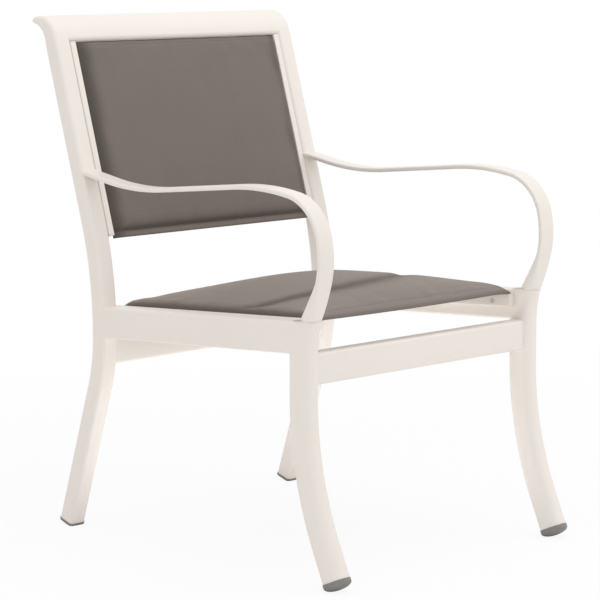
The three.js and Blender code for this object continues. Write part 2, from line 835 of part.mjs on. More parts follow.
for (const panel of [seatPanel, backPanel]) {
  const { name, frame } = panel;
  const tongues = Object.values(sides).map((side) => tongueGeometry(panel, side));
  addPiece(frame, `${name}_sling`, joined(padGeometry(panel), ...tongues), slingCloth);
  for (const [sideName, side] of Object.entries(sides)) {
    addPiece(frame, `${name}_sling_rail_${sideName}`, slingRailGeometry(panel, side), frameCoat);
    addPiece(frame, `${name}_spline_${sideName}`, splineGeometry(panel, side), splinePlastic);
    for (const end of panel.caps) {
      addPiece(frame, `${name}_rail_cap_${end}_${sideName}`, railCapGeometry(panel, side, end), frameCoat);
    }
    screwPlaces(panel).forEach((z, i) => {
      addPiece(frame, `${name}_screw_${sideName}_${i + 1}`, screwGeometry(panel, side, z), screwSteel);
    });
  }
}

// The origin is on the floor, under the middle of the chair's box.
const box = new THREE.Box3().setFromObject(chair);
const middle = box.getCenter(new THREE.Vector3());
chair.position.set(-middle.x, -middle.y, -box.min.z);

export default chair;
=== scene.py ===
import math

import bpy
from mathutils import Matrix, Vector, noise


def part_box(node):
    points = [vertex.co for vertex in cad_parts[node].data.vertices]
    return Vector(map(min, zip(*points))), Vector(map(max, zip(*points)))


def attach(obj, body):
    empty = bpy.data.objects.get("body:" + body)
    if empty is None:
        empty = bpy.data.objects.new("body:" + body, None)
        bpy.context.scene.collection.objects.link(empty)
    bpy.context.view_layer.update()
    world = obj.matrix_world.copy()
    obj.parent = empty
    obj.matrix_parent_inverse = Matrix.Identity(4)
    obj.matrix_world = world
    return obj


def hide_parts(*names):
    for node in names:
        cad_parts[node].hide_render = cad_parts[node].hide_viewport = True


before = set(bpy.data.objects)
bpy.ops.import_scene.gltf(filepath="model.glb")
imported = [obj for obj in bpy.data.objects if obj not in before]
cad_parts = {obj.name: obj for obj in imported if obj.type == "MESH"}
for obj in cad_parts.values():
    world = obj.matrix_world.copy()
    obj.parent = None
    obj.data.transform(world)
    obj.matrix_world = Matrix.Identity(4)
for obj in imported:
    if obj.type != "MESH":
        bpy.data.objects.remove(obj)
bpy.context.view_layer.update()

# Patio armchair in metres. The front faces -Y; left and right are as seen from the front.
print("frame loaded:", len(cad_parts), "nodes")

sides = {"left": -1, "right": 1}

# Sizes that the members share.
shared = {
    "seatRun": 0.504,          # front leg line to back post line
    "flushInset": 0.00005,     # a member that ends flush in another is this much smaller
    "railGap": 0.0003,         # between a post or side rail and the sling rail beside it
    "smoothAngle": math.radians(35),
    "ringTurn": math.radians(1.5),    # how far a bar turns from one ring to the next
    "ringGap": 0.00005,        # rings closer than this become one
    "mergeDistance": 0.000001,
    "cadMergeDistance": 0.000002,
}
# Rings over a rounded end, as shares of its radius: close together at the tip.
roundingShares = (0.01, 0.05, 0.12, 0.22, 0.36, 0.55, 0.78, 1)


def boxMiddle(node):
    low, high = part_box(node)
    return (low + high) / 2


def boxSize(node):
    low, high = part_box(node)
    return high - low


memberX = boxMiddle("front_leg_right").x
halfMember = boxSize("front_leg_right").x / 2
legY = boxMiddle("front_stretcher").y
postY = legY + shared["seatRun"]


# Shader maths as Python expressions.
class Wire:
    def __init__(self, maker, socket):
        self.maker = maker
        self.socket = socket

    def __add__(self, other):
        return self.maker.maths("ADD", self, other)

    def __sub__(self, other):
        return self.maker.maths("SUBTRACT", self, other)

    def __rsub__(self, other):
        return self.maker.maths("SUBTRACT", other, self)

    def __mul__(self, other):
        return self.maker.maths("MULTIPLY", self, other)

    def __truediv__(self, other):
        return self.maker.maths("DIVIDE", self, other)

    def __pow__(self, other):
        return self.maker.maths("POWER", self, other)

    __radd__ = __add__
    __rmul__ = __mul__


class Finish:
    def __init__(self, name, **shaderValues):
        self.material = bpy.data.materials.new(name)
        self.material.use_nodes = True
        self.tree = self.material.node_tree
        self.shader = self.tree.nodes["Principled BSDF"]
        for socket, value in shaderValues.items():
            self.shader.inputs[socket.replace("_", " ")].default_value = value

    def plug(self, socket, value):
        if isinstance(value, Wire):
            self.tree.links.new(value.socket, socket)
        else:
            socket.default_value = value

    def node(self, kind, settings, inputs, output=0):
        made = self.tree.nodes.new("ShaderNode" + kind)
        for key, value in settings.items():
            setattr(made, key, value)
        for key, value in inputs.items():
            self.plug(made.inputs[key], value)
        return Wire(self, made.outputs[output])

    def maths(self, operation, first, second=0.0):
        return self.node("Math", {"operation": operation}, {0: first, 1: second})

    def mix(self, share, low, high):
        return self.node("Mix", {"data_type": "RGBA"}, {0: share, 6: low, 7: high}, 2)

    def place(self):
        return self.node("TexCoord", {}, {}, "Object")

    def part(self, vector, axis):
        return self.node("SeparateXYZ", {}, {"Vector": vector}, axis)

    def noise(self, vector, scale, detail=2.0, roughness=0.5):
        inputs = {"Vector": vector, "Scale": scale, "Detail": detail, "Roughness": roughness}
        return self.node("TexNoise", {}, inputs, "Fac")

    def bump(self, height, strength, distance):
        return self.node("Bump", {}, {"Strength": strength, "Distance": distance, "Height": height})

    def wear(self, socket, value):
        self.plug(self.shader.inputs[socket], value)


# Powder coat: warm white, a faint orange peel and hardly any change of colour.
frameCoat = {
    "colour": (0.885, 0.830, 0.773, 1),
    "shade": (0.855, 0.795, 0.733, 1),
    "specular": 0.4,
    "clearCoat": 0.15,
    "clearCoatRoughness": 0.25,
    "roughness": 0.42,
    "roughnessSwing": 0.12,
    "cloudScale": 7,
    "cloudDetail": 3.0,
    "peelScale": 520,
    "peelStrength": 0.35,
    "peelDepth": 0.00012,
}


def makeFrameCoat():
    coat = Finish("frame_coat", Specular_IOR_Level=frameCoat["specular"], Coat_Weight=frameCoat["clearCoat"],
                  Coat_Roughness=frameCoat["clearCoatRoughness"])
    place = coat.place()
    cloud = coat.noise(place, frameCoat["cloudScale"], frameCoat["cloudDetail"])
    peel = coat.noise(place, frameCoat["peelScale"])
    coat.wear("Base Color", coat.mix(cloud, frameCoat["colour"], frameCoat["shade"]))
    coat.wear("Roughness", frameCoat["roughness"] + (cloud - 0.5) * frameCoat["roughnessSwing"])
    coat.wear("Normal", coat.bump(peel, frameCoat["peelStrength"], frameCoat["peelDepth"]))
    return coat.material


# Sling cloth: plain weave of coated yarns, two close greys, on the piece's own UV map in metres.
# The deep colour is painted shade at seams, side edges, ends and fold; the next is painted light on the seat.
slingCloth = {
    "yarnPitch": 0.0011,
    "yarnRoundness": 2.5,
    "underHeight": 0.25,       # how high a yarn lies where it passes under, as a share of its top
    "light": (0.210, 0.177, 0.155, 1),
    "dark": (0.154, 0.129, 0.112, 1),
    # Painted shade: the colour the cloth is darkened towards at its seams, side edges, ends and fold.
    "deep": (0.060, 0.051, 0.045, 1),
    # Painted light: the colour the seat's face is lightened towards, most of all in front of its fold.
    "paintedLightTone": (0.262, 0.228, 0.210, 1),
    "yarnShare": 0.14,
    "cloudShare": 0.34,
    "gapShare": 0.2,
    "cloudScale": 11,
    "cloudDetail": 3.0,
    "specular": 0.3,
    "sheen": 0.34,
    "sheenRoughness": 0.4,
    "sheenTint": (1, 0.88, 0.78, 1),
    "roughness": 0.78,
    "roughnessSwing": 0.15,
    "weaveStrength": 0.6,
    "weaveDepth": 0.0003,
}


def makeSlingCloth():
    cloth = Finish("sling_cloth", Specular_IOR_Level=slingCloth["specular"], Sheen_Weight=slingCloth["sheen"],
                   Sheen_Roughness=slingCloth["sheenRoughness"], Sheen_Tint=slingCloth["sheenTint"])
    under = slingCloth["underHeight"]

    def roundness(position):
        fromMiddle = cloth.maths("ABSOLUTE", cloth.maths("FRACT", position) * 2 - 1)
        return 1 - fromMiddle ** slingCloth["yarnRoundness"]

    def ownTone(number):
        return cloth.node("TexWhiteNoise", {"noise_dimensions": "1D"}, {"W": number}, "Value")

    uv = cloth.node("UVMap", {"uv_map": "weave"}, {})
    across = cloth.part(uv, "X") / slingCloth["yarnPitch"]
    along = cloth.part(uv, "Y") / slingCloth["yarnPitch"]
    warpNumber = cloth.maths("FLOOR", across)
    weftNumber = cloth.maths("FLOOR", along)
    warpOver = 0.5 + 0.5 * cloth.maths("COSINE", (along + warpNumber) * math.pi)
    weftOver = 0.5 - 0.5 * cloth.maths("COSINE", (across + weftNumber) * math.pi)
    warpHeight = roundness(across) * (under + (1 - under) * warpOver)
    weftHeight = roundness(along) * (under + (1 - under) * weftOver)
    height = cloth.maths("MAXIMUM", warpHeight, weftHeight)
    warpOnTop = cloth.maths("GREATER_THAN", warpHeight, weftHeight)
    yarnTone = ownTone(warpNumber) * warpOnTop + ownTone(weftNumber + 0.5) * (1 - warpOnTop)
    cloud = cloth.noise(cloth.place(), slingCloth["cloudScale"], slingCloth["cloudDetail"])
    tone = (yarnTone * slingCloth["yarnShare"] + cloud * slingCloth["cloudShare"]
            + (1 - height) * slingCloth["gapShare"])
    plain = cloth.mix(tone, slingCloth["light"], slingCloth["dark"])
    # Second UV map: X is painted shade towards the deep colour, Y painted light towards the lighter tone.
    marks = cloth.node("UVMap", {"uv_map": "marks"}, {})
    paintedLightTone = cloth.mix(cloth.part(marks, "Y"), plain, slingCloth["paintedLightTone"])
    cloth.wear("Base Color", cloth.mix(cloth.part(marks, "X"), paintedLightTone, slingCloth["deep"]))
    cloth.wear("Roughness", slingCloth["roughness"] + (yarnTone - 0.5) * slingCloth["roughnessSwing"])
    cloth.wear("Normal", cloth.bump(height, slingCloth["weaveStrength"], slingCloth["weaveDepth"]))
    return cloth.material


# Thread of the seams.
seamThread = {
    "light": (0.16, 0.135, 0.12, 1),
    "dark": (0.10, 0.085, 0.075, 1),
    "roughness": 0.6,
    "twistScale": 1500,
    "twistStrength": 0.5,
    "twistDepth": 0.0001,
}


def makeThread():
    thread = Finish("seam_thread", Roughness=seamThread["roughness"])
    twist = thread.noise(thread.place(), seamThread["twistScale"])
    thread.wear("Base Color", thread.mix(twist, seamThread["light"], seamThread["dark"]))
    thread.wear("Normal", thread.bump(twist, seamThread["twistStrength"], seamThread["twistDepth"]))
    return thread.material


# Moulded nylon of the glides, and the darker rod of the splines.
nylon = {
    "glide": {"name": "glide_nylon", "colour": (0.27, 0.26, 0.25, 1), "shade": (0.20, 0.19, 0.18, 1),
              "roughness": 0.45},
    "spline": {"name": "spline_rod", "colour": (0.03, 0.03, 0.03, 1), "shade": (0.02, 0.02, 0.02, 1),
               "roughness": 0.5},
    "roughnessSwing": 0.25,
    "scuffScale": 60,
    "scuffDetail": 4.0,
    "scuffRoughness": 0.7,
    "grainScale": 900,
    "grainStrength": 0.3,
    "grainDepth": 0.0001,
}


def makeNylon(kind):
    looks = nylon[kind]
    finish = Finish(looks["name"])
    place = finish.place()
    grain = finish.noise(place, nylon["grainScale"])
    scuff = finish.noise(place, nylon["scuffScale"], nylon["scuffDetail"], nylon["scuffRoughness"])
    finish.wear("Base Color", finish.mix(scuff, looks["colour"], looks["shade"]))
    finish.wear("Roughness", looks["roughness"] + (scuff - 0.5) * nylon["roughnessSwing"])
    finish.wear("Normal", finish.bump(grain, nylon["grainStrength"], nylon["grainDepth"]))
    return finish.material


# Turned stainless steel of the screws.
screwSteel = {
    "light": (0.62, 0.62, 0.61, 1),
    "dark": (0.5, 0.5, 0.5, 1),
    "roughness": 0.28,
    "roughnessSwing": 0.1,
    "turnScale": 900,
    "turnDistortion": 2.0,
}


def makeScrewSteel():
    steel = Finish("screw_steel", Metallic=1.0)
    inputs = {"Vector": steel.place(), "Scale": screwSteel["turnScale"],
              "Distortion": screwSteel["turnDistortion"]}
    turned = steel.node("TexWave", {"wave_type": "RINGS"}, inputs, "Fac")
    steel.wear("Base Color", steel.mix(turned, screwSteel["light"], screwSteel["dark"]))
    steel.wear("Roughness", screwSteel["roughness"] + turned * screwSteel["roughnessSwing"])
    return steel.material


coatMaterial = makeFrameCoat()
clothMaterial = makeSlingCloth()
threadMaterial = makeThread()
glideMaterial = makeNylon("glide")
splineMaterial = makeNylon("spline")
screwMaterial = makeScrewSteel()
print("materials made")


# Mesh helpers.
def deselect():
    if bpy.context.object and bpy.context.object.mode != "OBJECT":
        bpy.ops.object.mode_set(mode="OBJECT")
    bpy.ops.object.select_all(action="DESELECT")


def finishPiece(piece, material, slotName, *replacedNodes):
    piece.data.materials.clear()
    piece.data.materials.append(material)
    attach(piece, "root")
    if replacedNodes:
        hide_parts(*replacedNodes)


# A route in the YZ plane: straight runs between (y, z, bend) corners, of which the inner ones are
# rounded to their bend.
def makeRoute(corners):
    runs = []
    length = 0
    start = corners[0]
    for i, corner in enumerate(corners[1:], 1):
        following = corners[i + 1] if i + 1 < len(corners) else None
        heading = math.atan2(corner[1] - start[1], corner[0] - start[0])
        leaving = math.atan2(following[1] - corner[1], following[0] - corner[0]) if following else heading
        turn = (leaving - heading + math.pi) % math.tau - math.pi
        setback = corner[2] * math.tan(abs(turn) / 2) if following else 0
        straight = math.hypot(corner[0] - start[0], corner[1] - start[1]) - setback
        runs.append({"start": start, "heading": heading, "turn": 0, "from": length, "length": straight})
        length += straight
        if following:
            y = corner[0] - setback * math.cos(heading)
            z = corner[1] - setback * math.sin(heading)
            arc = corner[2] * abs(turn)
            runs.append({"start": (y, z), "heading": heading, "turn": turn, "from": length, "length": arc})
            length += arc
            start = (corner[0] + setback * math.cos(leaving), corner[1] + setback * math.sin(leaving))
    return {"runs": runs, "length": length}


def pointOnRoute(route, distance):
    begun = [run for run in route["runs"] if run["from"] <= distance]
    run = begun[-1] if begun else route["runs"][0]
    along = distance - run["from"]
    y, z = run["start"][:2]
    if run["turn"] == 0:
        return y + along * math.cos(run["heading"]), z + along * math.sin(run["heading"]), run["heading"]
    heading = run["heading"] + run["turn"] * along / run["length"]
    bend = run["length"] / run["turn"]
    y += bend * (math.sin(heading) - math.sin(run["heading"]))
    z -= bend * (math.cos(heading) - math.cos(run["heading"]))
    return y, z, heading


def ringPlaces(route, extras, start):
    places = [start, *extras, route["length"]]
    for run in route["runs"]:
        count = max(1, math.ceil(abs(run["turn"]) / shared["ringTurn"]))
        places += [run["from"] + run["length"] * i / count for i in range(count + 1)]
    wanted = sorted(place for place in places if place >= start)
    return [place for i, place in enumerate(wanted) if i == 0 or place - wanted[i - 1] > shared["ringGap"]]


# A rounded rectangle as (across, deep) pairs.
def roundedRing(halfWidth, halfDepth, radius, steps=6):
    limit = min(radius, halfWidth, halfDepth)
    ring = []
    for quarter, (signX, signY) in enumerate([(1, 1), (-1, 1), (-1, -1), (1, -1)]):
        for i in range(steps + 1):
            angle = (quarter + i / steps) * math.pi / 2
            ring.append((signX * (halfWidth - limit) + limit * math.cos(angle),
                         signY * (halfDepth - limit) + limit * math.sin(angle)))
    return ring


# A grid is wrapped round the rings, its seam is merged and its two ends are closed.
def skinBar(name, rings):
    deselect()
    bpy.ops.mesh.primitive_grid_add(x_subdivisions=len(rings[0]), y_subdivisions=len(rings) - 1, size=1)
    bar = bpy.context.object
    bar.name = bar.data.name = name
    points = [point for ring in rings for point in ring + ring[:1]]
    for vertex, point in zip(bar.data.vertices, points, strict=True):
        vertex.co = point
    bpy.ops.object.mode_set(mode="EDIT")
    bpy.ops.mesh.select_all(action="SELECT")
    bpy.ops.mesh.remove_doubles(threshold=shared["mergeDistance"])
    bpy.ops.mesh.fill_holes(sides=0)
    bpy.ops.mesh.normals_make_consistent(inside=False)
    bpy.ops.object.mode_set(mode="OBJECT")
    bpy.ops.object.shade_smooth_by_angle(angle=shared["smoothAngle"])
    return bar


# section(distance) gives half width, half depth, corner radius and shift towards the inside of the
# bar's route.
def loftBar(name, route, section, x, extras=(), start=0):
    rings = []
    for distance in ringPlaces(route, extras, start):
        y, z, heading = pointOnRoute(route, distance)
        halfWidth, halfDepth, radius, shift = section(distance)
        ring = roundedRing(halfWidth, halfDepth, radius)
        rings.append([(x + across,
                       y + math.sin(heading) * (deep + shift),
                       z - math.cos(heading) * (deep + shift)) for across, deep in ring])
    return skinBar(name, rings)


# Cuts a piece with a plane, drops what is on its far side and closes the cut.
def trimPiece(piece, point, normal):
    deselect()
    bpy.context.view_layer.objects.active = piece
    piece.select_set(True)
    bpy.ops.object.mode_set(mode="EDIT")
    bpy.ops.mesh.select_all(action="SELECT")
    bpy.ops.mesh.bisect(plane_co=point, plane_no=normal, use_fill=True, clear_outer=True)
    bpy.ops.object.mode_set(mode="OBJECT")


# Two bars along the same route, left and right; a cut is the point and the normal of a plane.
def makePair(name, route, section, extras=(), cut=None):
    for sideName, side in sides.items():
        bar = loftBar(f"coated_{name}_{sideName}", route, section, side * memberX, extras)
        if cut:
            trimPiece(bar, *cut)
        finishPiece(bar, coatMaterial, "frame", f"{name}_{sideName}")


# Feet: where each straight run bends from, how far it splays and its section.
feet = {
    "rear": {"y": postY, "z": 0.308, "splay": math.radians(18), "depth": 0.034, "radius": 0.007,
             "rim": 0.005, "dome": 0.0},
    "front": {"y": legY, "z": 0.187, "splay": -math.radians(24.2), "depth": 0.049, "radius": 0.015,
              "rim": 0.006, "dome": 0.0095},
    "lip": 0.001,
    "edgeRadius": 0.0012,
    "flat": 0.0012,
    "domeRings": 12,
    "domeTip": 0.02,           # the dome's first ring, as a share of its widest one
}


# A point on a foot's straight run, measured up the leg from the underside of its glide's rim.
def footPoint(foot, distance):
    reach = (foot["depth"] / 2 + feet["lip"]) * math.sin(foot["splay"])
    soleZ = math.hypot(reach, foot["dome"] * math.cos(foot["splay"])) - feet["flat"]
    soleY = foot["y"] + (foot["z"] - soleZ) * math.tan(foot["splay"])
    return soleY - distance * math.sin(foot["splay"]), soleZ + distance * math.cos(foot["splay"])


# Rear legs that run on up as the back posts and end in a rolled head.
post = {
    "depth": feet["rear"]["depth"],
    "radius": feet["rear"]["radius"],
    "kneeHeight": feet["rear"]["z"],
    "kneeBend": 0.300,
    "waistHeight": 0.468,
    "waistBend": 0.670,
    "recline": math.radians(16.8),
    "backLength": 0.4665,
    "rollBend": 0.043,
    "rollReach": 0.0365,
    "rollDroop": math.radians(7),
    "taperLength": 0.104,
    "tipShare": 0.3,
    "taperPower": 2.8,
    "taperRings": 24,
    "endRadius": 0.004,
}


def postRoute():
    rollY = postY + post["backLength"] * math.sin(post["recline"])
    rollZ = post["waistHeight"] + post["backLength"] * math.cos(post["recline"])
    tipY = rollY + post["rollReach"] * math.cos(post["rollDroop"])
    tipZ = rollZ - post["rollReach"] * math.sin(post["rollDroop"])
    return makeRoute([
        footPoint(feet["rear"], feet["rear"]["rim"]),
        (postY, post["kneeHeight"], post["kneeBend"]),
        (postY, post["waistHeight"], post["waistBend"]),
        (rollY, rollZ, post["rollBend"]),
        (tipY, tipZ),
    ])


def headHalfDepth(fromTip):
    share = min(max(1 - fromTip / post["taperLength"], 0), 1)
    taper = 1 - (1 - post["tipShare"]) * share ** post["taperPower"]
    past = min(max(1 - fromTip / post["endRadius"], 0), 1)
    rounding = 1 - (1 - math.sqrt(1 - past * past)) * (1 - post["tipShare"])
    return post["depth"] / 2 * taper * rounding


def headRings(length):
    tips = [length - post["endRadius"] * share for share in roundingShares]
    count = post["taperRings"]
    return tips + [length - post["taperLength"] * i / count for i in range(2, count + 1)]


def makePosts():
    route = postRoute()
    length = route["length"]

    def section(distance):
        return halfMember, headHalfDepth(length - distance), post["radius"], 0

    makePair("back_post", route, section, headRings(length))


# Crest rail between the posts, with the same rolled head and a rounded lower front edge. It ends just
# inside the posts' tips, so that no two faces coincide there.
crest = {"drop": 0.0106, "radius": 0.0008, "edgeRadius": 0.009}
rollTurn = math.pi / 2 - post["recline"] + post["rollDroop"]
rollSetback = post["rollBend"] * math.tan(rollTurn / 2)
crestBottom = post["backLength"] - rollSetback - crest["drop"]


def makeCrest():
    route = postRoute()
    length = route["length"]
    route["length"] -= shared["flushInset"]
    route["runs"][-1]["length"] -= shared["flushInset"]
    start = length - post["rollBend"] * rollTurn - post["rollReach"] + rollSetback - crest["drop"]
    edge = crest["edgeRadius"]

    def section(distance):
        past = min(max(1 - (distance - start) / edge, 0), 1)
        drawnIn = edge * (1 - math.sqrt(1 - past * past))
        halfDepth = headHalfDepth(length - distance) - shared["flushInset"] - drawnIn / 2
        return memberX, halfDepth, crest["radius"], drawnIn / 2

    extras = headRings(route["length"]) + [start + edge * share for share in roundingShares]
    bar = loftBar("coated_crest_rail", route, section, 0, extras, start)
    finishPiece(bar, coatMaterial, "frame", "crest_rail")


# Front legs, cut off in the plane of the seat rails' top face, where the arms take over.
leg = {
    "depth": feet["front"]["depth"],
    "radius": feet["front"]["radius"],
    "sweepHeight": feet["front"]["z"],
    "sweepBend": 0.590,
    "neckHeight": 0.410,
    "neckBend": 0.236,
    "neckLean": math.radians(14.5),
}
rail = {"top": 0.439, "height": 0.054, "radius": 0.005, "pitch": math.radians(3.33)}
railNormal = Vector((0, math.sin(rail["pitch"]), math.cos(rail["pitch"])))
railPoint = Vector((0, legY, rail["top"]))


def makeLegs():
    topZ = rail["top"] + leg["depth"]
    route = makeRoute([
        footPoint(feet["front"], feet["front"]["rim"]),
        (legY, leg["sweepHeight"], leg["sweepBend"]),
        (legY, leg["neckHeight"], leg["neckBend"]),
        (legY - (topZ - leg["neckHeight"]) * math.tan(leg["neckLean"]), topZ),
    ])

    def section(distance):
        return halfMember, leg["depth"] / 2, leg["radius"], 0

    makePair("front_leg", route, section, cut=(railPoint, railNormal))


# Arms: a flat bar that dips behind the crown, turns down at the front and swells into the leg. Dip,
# crown and brow are corners of its route: how far in front of the post, how high, and their bend.
arm = {
    "thickness": 0.008,
    "radius": 0.003,
    "rearHeight": 0.6532,
    "dip": (0.097, 0.6264, 0.555),
    "crown": (0.4155, 0.6574, 0.490),
    "brow": (0.5465, 0.635, 0.0905),
    "chinHeight": 0.532,
    "chinBend": 0.148,
    "flareLength": 0.068,
    "flareThickness": 0.031,
    "flareRadius": 0.015,
    "flarePower": 1.35,
    "flareRings": 20,
}


# The front face of the leg's leaning neck, which the arm's front face follows.
def leaningFace(z):
    middle = legY - (z - leg["neckHeight"]) * math.tan(leg["neckLean"])
    return middle - leg["depth"] / 2 / math.cos(leg["neckLean"])


def makeArms():
    base = rail["top"] - rail["height"] / 2
    corners = (arm["dip"], arm["crown"], arm["brow"])
    rearY = postY + (arm["rearHeight"] - post["waistHeight"]) * math.tan(post["recline"])
    route = makeRoute([
        (rearY, arm["rearHeight"]),
        *[(postY - forward, height, bend) for forward, height, bend in corners],
        (leaningFace(arm["chinHeight"]), arm["chinHeight"], arm["chinBend"]),
        (leaningFace(base), base),
    ])
    flareEnd = route["length"] - rail["height"] / 2 / math.cos(leg["neckLean"])

    def section(distance):
        share = min(max((distance - flareEnd + arm["flareLength"]) / arm["flareLength"], 0), 1)
        thickness = arm["thickness"] + (arm["flareThickness"] - arm["thickness"]) * share ** arm["flarePower"]
        radius = arm["radius"] + (arm["flareRadius"] - arm["radius"]) * share * share
        halfWidth = halfMember - shared["flushInset"] * (1 - share)
        return halfWidth, thickness / 2, radius, -thickness / 2

    count = arm["flareRings"]
    flareRings = [flareEnd - arm["flareLength"] * i / count for i in range(count + 1)]
    makePair("arm", route, section, flareRings, (railPoint, -railNormal))


# Seat side rails run into the post and the leg; the stretchers run into the members at their ends.
def makeRails():
    halfDrop = rail["height"] / 2 / math.cos(rail["pitch"])
    fall = shared["seatRun"] * math.tan(rail["pitch"])
    route = makeRoute([(legY, rail["top"] - halfDrop), (postY, rail["top"] - fall - halfDrop)])

    def section(distance):
        return halfMember - shared["flushInset"] * 2, rail["height"] / 2, rail["radius"], 0

    makePair("seat_side_rail", route, section)


def makeStretchers():
    for name in ("front_stretcher", "rear_stretcher"):
        middle, size = boxMiddle(name), boxSize(name)
        ring = roundedRing(size.y / 2, size.z / 2, rail["radius"])
        rings = [[(x, middle.y + deep, middle.z + high) for deep, high in ring]
                 for x in (-memberX, memberX)]
        bar = skinBar(f"coated_{name}", rings)
        finishPiece(bar, coatMaterial, "frame", name)


makePosts()
makeCrest()
makeLegs()
makeArms()
makeRails()
makeStretchers()
print("frame members made")


# Glides: a rim under each foot, domed at the front, with a flat where it meets the floor.
def makeGlides():
    for place in ("rear", "front"):
        foot = feet[place]
        rounded = max(foot["dome"], feet["edgeRadius"])
        route = makeRoute([footPoint(foot, -foot["dome"]), footPoint(foot, foot["rim"])])

        def section(distance):
            past = min(max(1 - distance / rounded, 0), 1)
            across = math.sqrt(1 - past * past)
            width = halfMember + feet["lip"]
            depth = foot["depth"] / 2 + feet["lip"]
            if foot["dome"]:
                share = max(across, feet["domeTip"])
                return width * share, depth * share, (foot["radius"] + feet["lip"]) * share, 0
            drawnIn = feet["edgeRadius"] * (1 - across)
            return width - drawnIn, depth - drawnIn, foot["radius"] + feet["lip"], 0

        count = feet["domeRings"]
        extras = [rounded * (1 - math.cos(math.pi / 2 * i / count)) for i in range(1, count + 1)]
        for sideName, side in sides.items():
            name = f"{place}_glide_{sideName}"
            cap = loftBar(f"moulded_{name}", route, section, side * memberX, extras)
            trimPiece(cap, (0, 0, 0), (0, 0, -1))
            finishPiece(cap, glideMaterial, "glide", name)


makeGlides()
print("glides made")


# Sling rails, their caps, splines and screws keep their CAD form: a merged copy gets smooth round
# faces.
def smoothCopy(node, newName, material, slotName):
    deselect()
    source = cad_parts[node]
    piece = bpy.data.objects.new(newName, source.data.copy())
    bpy.context.scene.collection.objects.link(piece)
    bpy.context.view_layer.objects.active = piece
    piece.select_set(True)
    bpy.ops.object.mode_set(mode="EDIT")
    bpy.ops.mesh.select_all(action="SELECT")
    bpy.ops.mesh.remove_doubles(threshold=shared["cadMergeDistance"])
    bpy.ops.object.mode_set(mode="OBJECT")
    bpy.ops.mesh.customdata_custom_splitnormals_clear()
    bpy.ops.object.shade_smooth_by_angle(angle=shared["smoothAngle"])
    finishPiece(piece, material, slotName, node)


def makeHardware():
    dressed = {
        "sling_rail": ("coated", coatMaterial, "frame"),
        "rail_cap": ("coated", coatMaterial, "frame"),
        "spline": ("extruded", splineMaterial, "spline"),
        "screw": ("turned", screwMaterial, "screw"),
    }
    for node in list(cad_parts):
        for word, (prefix, material, slotName) in dressed.items():
            if f"_{word}_" in node:
                smoothCopy(node, f"{prefix}_{node}", material, slotName)


makeHardware()
print("hardware dressed")

# Slings. Both share one layout: x across, -y out of the cloth's face, z along the panel.
sling = {
    "railWidth": 0.0123,
    "padGap": 0.0004,
    "channelInset": 0.0055,    # from the rails' face to the middle of their slot
    "slotReach": 0.0036,       # how far the cloth's side edges run into the slot
    "slotEnd": 0.018,          # where along the panel they begin and stop to do so
    "slotEase": 0.006,
    "halfEdge": 0.0010,
    "edgeRadius": 0.0016,
    "edgeRows": 4,
    "hemReach": 0.0256,        # the mesh is fine up to here from an edge
    "hemRows": 20,
    "middlePitch": 0.006,
    "seamWidth": 0.0030,
    "seamEase": 0.006,
    "stitchPitch": 0.0044,
    "stitchLength": 0.0031,
    "stitchMargin": 0.006,
    "threadRadius": 0.00042,
    "threadSides": 6,
    "threadRings": 5,
    "puckerDepth": 0.0011,
    "puckerWidth": 0.016,
    "puckerScale": 38,
    "foldEase": 0.02,
    "curlEase": 0.012,
    "liftSideEase": 0.025,
    "liftEndEase": 0.030,
    "sagEase": 0.035,
    "shadePower": 3,
    "shadeWaver": 0.35,
    "shadeWaverScale": (4, 14),
    "seamShadeInside": 0.010,
    "seamShadeOutside": 0.0025,
    "seamShadeEase": 0.012,
}
# Separate planes of the noise, so that its two patterns don't agree.
noisePlane = {"pucker": 0.5, "shade": 2.5}
seatPad = {
    "name": "seat",
    "origin": (0, legY, rail["top"]),
    "turn": -math.pi / 2 - rail["pitch"],
    "face": 0,
    "start": 0.004,
    "length": 0.490,
    "crown": 0.0306,
    "crownRow": 0.2823,
    "startPower": 3.9,
    "endPower": 1.28,
    "puff": 0.0149,
    "sidePuffWidth": 0.018,
    "endPuffWidth": 0.0556,
    "backPuff": 0.004,
    "backCrownShare": 0.5,
    "endLift": 0.0031,
    "startSag": 0.0030,
    "startHem": 0.0,
    "endHem": 0.0,
    "hemCurl": 0.0,
    "startSeam": 0.012,
    "endSeam": 0.012,
    "startSeamDepth": 0.0003,
    "endSeamDepth": 0.0003,
    # The fold across the thighs, as (x, row) pairs: it swings back towards both side edges.
    "crease": [(-0.244, 0.196), (-0.239, 0.186), (-0.229, 0.152), (-0.198, 0.129),
               (-0.148, 0.106), (-0.072, 0.099), (0.010, 0.107), (0.056, 0.120),
               (0.104, 0.140), (0.150, 0.177), (0.190, 0.218), (0.244, 0.270)],
    "creaseDepth": 0.0034,
    "creaseFront": 0.025,
    "creaseRear": 0.014,
    # Painted shade, from 0 to 1: in the fold, along the side edges, at the ends and at the seams.
    "creaseShade": 0.95,
    "leftShade": 0.70,
    "leftShadeWidth": 0.007,
    "rightShade": 0.5,
    "rightShadeWidth": 0.007,
    "startShade": 0.25,
    "endShade": 0.3,
    "endShadeWidth": 0.0022,
    "startSeamShade": 0.03,
    "endSeamShade": 0.03,
    # Painted light: the seat's face is painted lighter all over, and more so in front of its fold.
    "wear": 0.32,
    "frontPaintedLight": 0.36,
    "paintedLightRow": 0.130,
}
backStart = 0.0595
